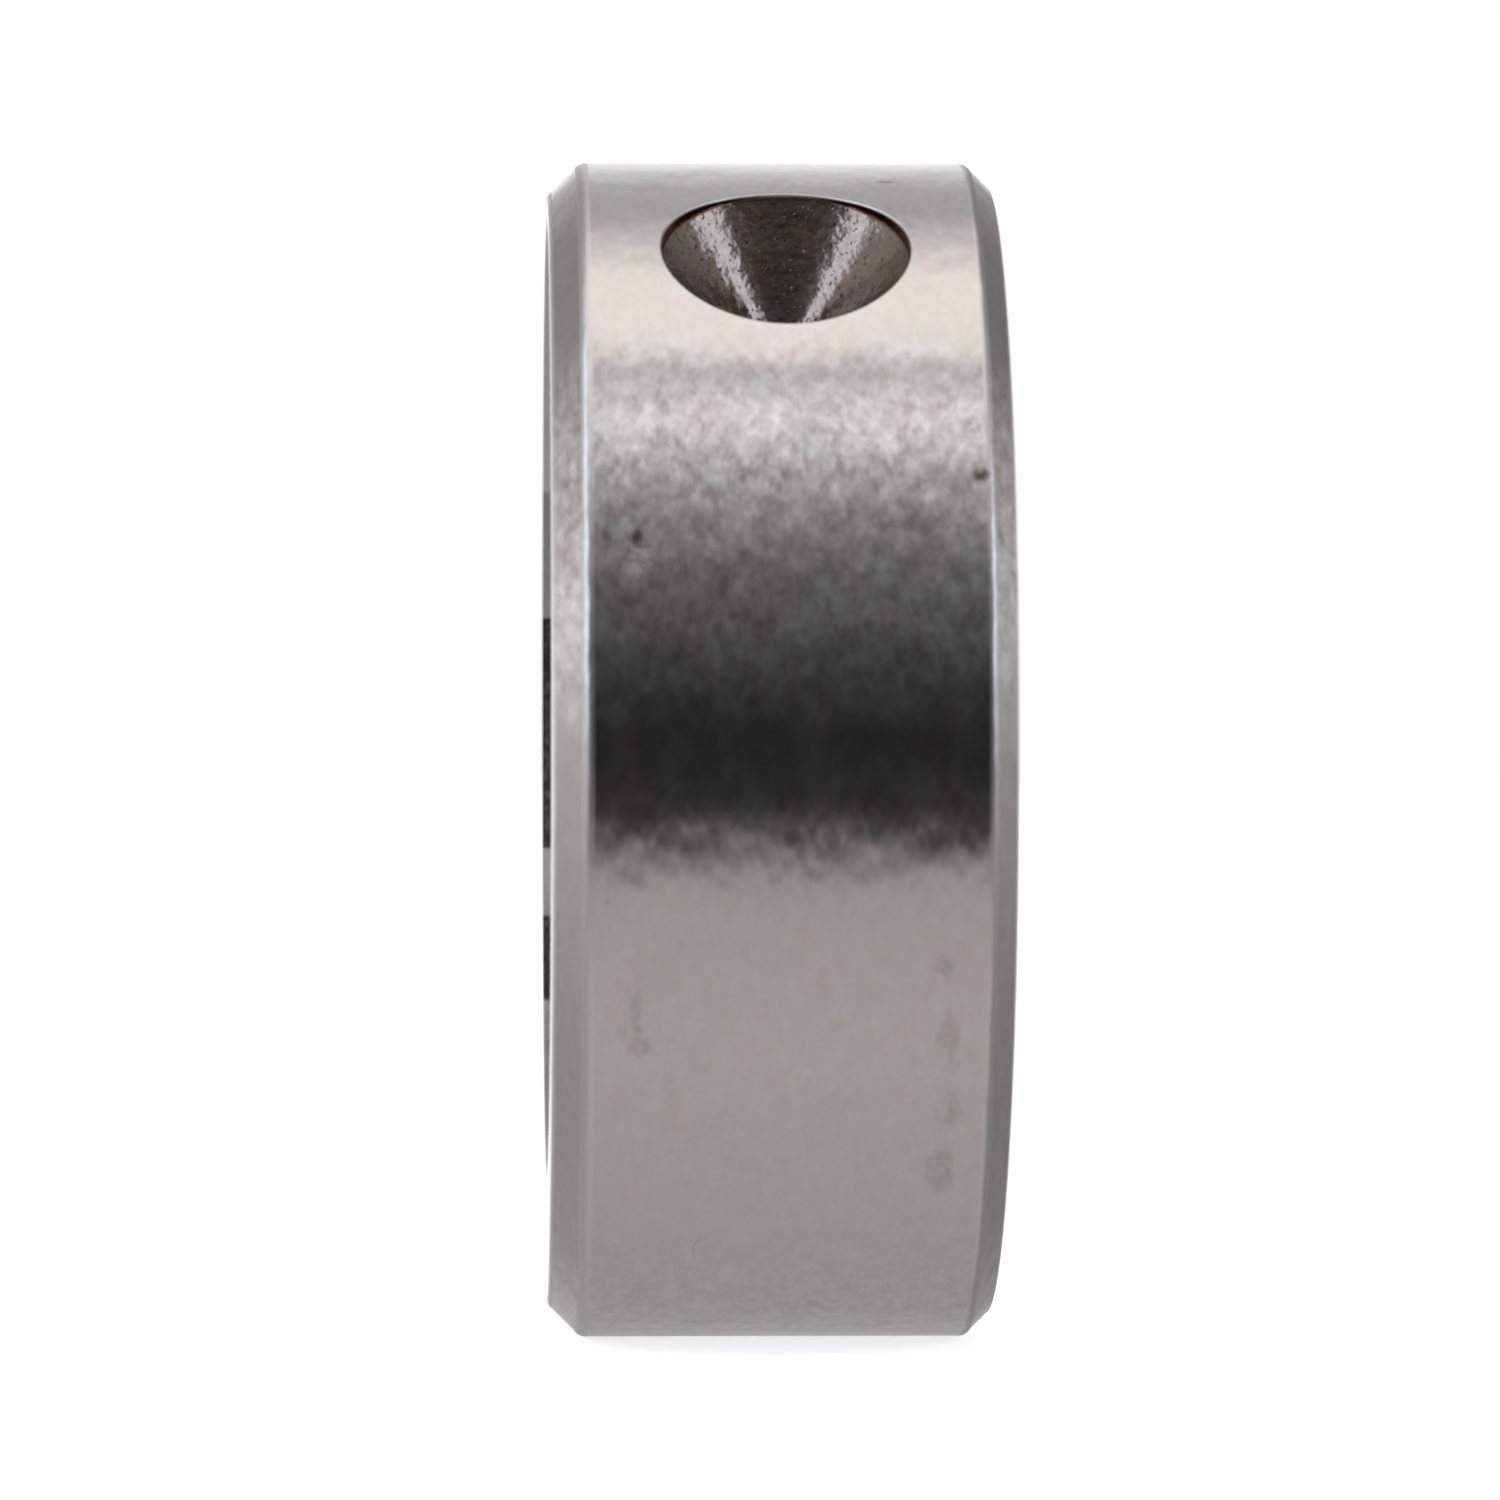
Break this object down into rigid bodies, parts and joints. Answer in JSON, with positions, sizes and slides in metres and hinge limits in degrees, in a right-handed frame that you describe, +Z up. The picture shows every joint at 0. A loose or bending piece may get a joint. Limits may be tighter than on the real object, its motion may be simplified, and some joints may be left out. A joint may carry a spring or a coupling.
{
  "type": "shaft collar",
  "caption": "Eccentric self-locking shaft collar: turned steel ring with an off-centre recess, a blind drift hole in the rim and a cup-point set screw.",
  "frame": {"origin": "on the shaft axis, midway between the collar's two side faces", "axes": "+X along the shaft axis, out of the plain side face; the cam recess opens towards -X and is offset towards +Z; +Z is up as the collar stands on its rim"},
  "size_m": [0.0136, 0.036, 0.036],
  "materials": {
    "turned_steel": "fine turned and tumbled steel, satin, with edge wear and small stains",
    "black_oxide_steel": "black oxide, slightly oily, worn to bare steel on the thread crests and the socket's edge"
  },
  "bodies": {
    "collar": {"collar_body": "turned_steel"},
    "screw": {"set_screw": "black_oxide_steel"}
  },
  "joints": [
    {"name": "set_screw_travel", "type": "slide", "parent": "collar", "child": "screw", "axis": [0, 0.9976, 0.0698], "range_m": [-0.001, 0.002]}
  ]
}
